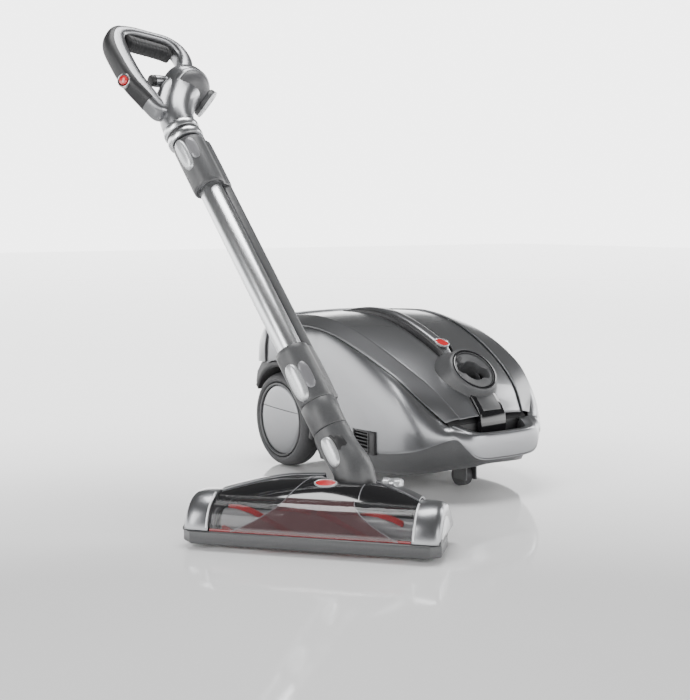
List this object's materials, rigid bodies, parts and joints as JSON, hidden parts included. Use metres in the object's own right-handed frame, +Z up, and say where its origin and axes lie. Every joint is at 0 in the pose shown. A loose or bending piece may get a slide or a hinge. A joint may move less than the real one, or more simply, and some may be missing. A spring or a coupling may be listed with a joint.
{
  "type": "canister vacuum cleaner",
  "caption": "Rounded silver canister on large rear wheels, with a powered floor head carrying a telescoping chromed wand and a closed loop handle.",
  "frame": {"origin": "on the floor, under the middle of the whole object's footprint", "axes": "+Z up; the canister's nose points along -Y and its cord outlet along +Y; the floor head stands on the -X side"},
  "size_m": [0.6722, 0.6972, 0.7054],
  "materials": {
    "silver_paint": "metallic satin",
    "dark_paint": "metallic satin",
    "charcoal": "satin",
    "black_gloss": "gloss",
    "black": "matte",
    "tyre": "matte",
    "steel": "brushed",
    "chrome": "polished",
    "light_grey": "satin",
    "smoked_window": "clear",
    "red_button": "gloss",
    "bristle": "satin",
    "paper": "fibrous",
    "filter_foam": "fibrous",
    "motor_case": "satin",
    "belt_rubber": "matte"
  },
  "bodies": {
    "canister": {"base_shell": "charcoal", "body_shell": "silver_paint", "trim_bands": "dark_paint", "rear_cover": "dark_paint", "wheel_wells": "black", "side_vents": "black", "wheel_axles": "steel", "motor_housing": "motor_case", "dust_bag": "paper", "bag_holder": "light_grey", "exhaust_filter": "filter_foam", "cord_gland": "black"},
    "lid": {"lid_cover": "silver_paint", "port_ring": "black_gloss", "hose_inlet": "charcoal", "carry_handle": "silver_paint", "handle_sides": "black"},
    "latch": {"latch_button": "black_gloss"},
    "power_pedal": {"power_pedal": "light_grey"},
    "rewind_pedal": {"rewind_pedal": "light_grey"},
    "exhaust_door": {"exhaust_grille": "black"},
    "fan": {"motor_fan": "motor_case"},
    "reel": {"cord_reel": "charcoal"},
    "left_wheel": {"tyre_left": "tyre", "hub_left": "silver_paint"},
    "right_wheel": {"tyre_right": "tyre", "hub_right": "silver_paint"},
    "caster": {"caster_fork": "charcoal"},
    "caster_wheel": {"caster_wheel": "tyre"},
    "head": {"head_base": "charcoal", "head_cover": "black_gloss", "head_window": "smoked_window", "end_caps": "silver_paint", "brush_motor": "motor_case", "drive_belt": "belt_rubber"},
    "brush": {"brush_roll": "bristle"},
    "brush_rotor": {"motor_pulley": "steel"},
    "rollers": {"rear_rollers": "tyre"},
    "release_pedal": {"release_pedal": "light_grey"},
    "yoke": {"neck_yoke": "charcoal"},
    "wand": {"neck_elbow": "charcoal", "lower_coupling": "charcoal", "outer_tube": "chrome", "lower_conduit": "black", "upper_coupling": "charcoal"},
    "neck_button": {"neck_button": "light_grey"},
    "coupling_button": {"coupling_button": "light_grey"},
    "slide_button": {"slide_button": "light_grey"},
    "grip": {"inner_tube": "chrome", "upper_conduit": "black", "collar_ring": "chrome", "handle_hub": "silver_paint", "handle_loop": "silver_paint", "grip_pad": "black", "hub_cap": "charcoal"},
    "switch": {"switch_button": "red_button"},
    "hose_socket": {"hose_socket": "charcoal"},
    "bleed_knob": {"bleed_knob": "black_gloss"}
  },
  "joints": [
    {"name": "lid_hinge", "type": "hinge", "parent": "canister", "child": "lid", "pos_m": [0.1841, 0.2921, 0.235], "axis": [-1, 0, 0], "range_deg": [0, 70]},
    {"name": "latch_press", "type": "slide", "parent": "lid", "child": "latch", "axis": [0, 0, -1], "range_m": [0, 0.004], "stiffness_N_per_m": 900},
    {"name": "power_pedal_press", "type": "slide", "parent": "canister", "child": "power_pedal", "axis": [0, 0, -1], "range_m": [0, 0.004], "stiffness_N_per_m": 900},
    {"name": "rewind_pedal_press", "type": "slide", "parent": "canister", "child": "rewind_pedal", "axis": [0, 0, -1], "range_m": [0, 0.004], "stiffness_N_per_m": 900},
    {"name": "exhaust_door_hinge", "type": "hinge", "parent": "canister", "child": "exhaust_door", "pos_m": [0.1841, 0.3416, 0.0645], "axis": [-1, 0, 0], "range_deg": [0, 75]},
    {"name": "fan_spin", "type": "hinge", "parent": "canister", "child": "fan", "pos_m": [0.1841, 0.2526, 0.118], "axis": [1, 0, 0], "continuous": true},
    {"name": "reel_spin", "type": "hinge", "parent": "canister", "child": "reel", "pos_m": [0.2341, 0.2656, 0.112], "axis": [1, 0, 0], "continuous": true},
    {"name": "left_wheel_spin", "type": "hinge", "parent": "canister", "child": "left_wheel", "pos_m": [0.0541, 0.2476, 0.078], "axis": [1, 0, 0], "continuous": true},
    {"name": "right_wheel_spin", "type": "hinge", "parent": "canister", "child": "right_wheel", "pos_m": [0.3141, 0.2476, 0.078], "axis": [1, 0, 0], "continuous": true},
    {"name": "caster_swivel", "type": "hinge", "parent": "canister", "child": "caster", "pos_m": [0.1841, -0.0524, 0.045], "axis": [0, 0, 1], "continuous": true},
    {"name": "caster_wheel_spin", "type": "hinge", "parent": "caster", "child": "caster_wheel", "pos_m": [0.1841, -0.0384, 0.016], "axis": [1, 0, 0], "continuous": true},
    {"name": "floor_stroke", "type": "slide", "parent": "canister", "child": "head", "axis": [-0.7649, -0.6441, 0], "range_m": [0, 0.3]},
    {"name": "brush_spin", "type": "hinge", "parent": "head", "child": "brush", "pos_m": [-0.20433, -0.20132, 0.027], "axis": [0.6441, -0.7649, 0], "continuous": true},
    {"name": "brush_rotor_spin", "type": "hinge", "parent": "head", "child": "brush_rotor", "pos_m": [-0.20997, -0.10148, 0.036], "axis": [0.6441, -0.7649, 0], "continuous": true},
    {"name": "rollers_spin", "type": "hinge", "parent": "head", "child": "rollers", "pos_m": [-0.13358, -0.14174, 0.0105], "axis": [0.6441, -0.7649, 0], "continuous": true},
    {"name": "release_pedal_press", "type": "hinge", "parent": "head", "child": "release_pedal", "pos_m": [-0.10127, -0.22435, 0.071], "axis": [-0.6441, 0.7649, 0], "range_deg": [0, 10], "stiffness_Nm_per_rad": 0.6},
    {"name": "neck_tilt", "type": "hinge", "parent": "head", "child": "yoke", "pos_m": [-0.12317, -0.17351, 0.042], "axis": [0.6441, -0.7649, 0], "range_deg": [-18, 20]},
    {"name": "neck_swivel", "type": "hinge", "parent": "yoke", "child": "wand", "pos_m": [-0.11705, -0.16835, 0.07], "axis": [0, 0, 1], "range_deg": [-60, 20]},
    {"name": "neck_button_press", "type": "slide", "parent": "wand", "child": "neck_button", "axis": [0.9912, 0.1323, 0], "range_m": [0, 0.003], "stiffness_N_per_m": 900},
    {"name": "coupling_button_press", "type": "slide", "parent": "wand", "child": "coupling_button", "axis": [0.9912, 0.1323, 0], "range_m": [0, 0.003], "stiffness_N_per_m": 900},
    {"name": "slide_button_press", "type": "slide", "parent": "wand", "child": "slide_button", "axis": [0.9912, 0.1323, 0], "range_m": [0, 0.003], "stiffness_N_per_m": 900},
    {"name": "wand_extend", "type": "slide", "parent": "wand", "child": "grip", "axis": [-0.0823, 0.617, 0.7826], "range_m": [0, 0.2]},
    {"name": "switch_press", "type": "slide", "parent": "grip", "child": "switch", "axis": [0.5579, 0.6793, -0.4769], "range_m": [0, 0.0025], "stiffness_N_per_m": 900},
    {"name": "hose_swivel", "type": "hinge", "parent": "grip", "child": "hose_socket", "pos_m": [-0.10329, 0.25239, 0.59201], "axis": [0.7002, -0.3877, -0.5995], "continuous": true},
    {"name": "bleed_knob_turn", "type": "hinge", "parent": "grip", "child": "bleed_knob", "pos_m": [-0.17477, 0.2642, 0.61861], "axis": [-0.9912, -0.1323, 0], "range_deg": [-45, 45]}
  ],
  "couplings": [
    {"joint": "brush_rotor_spin", "follows": "brush_spin", "ratio": 1.75}
  ]
}
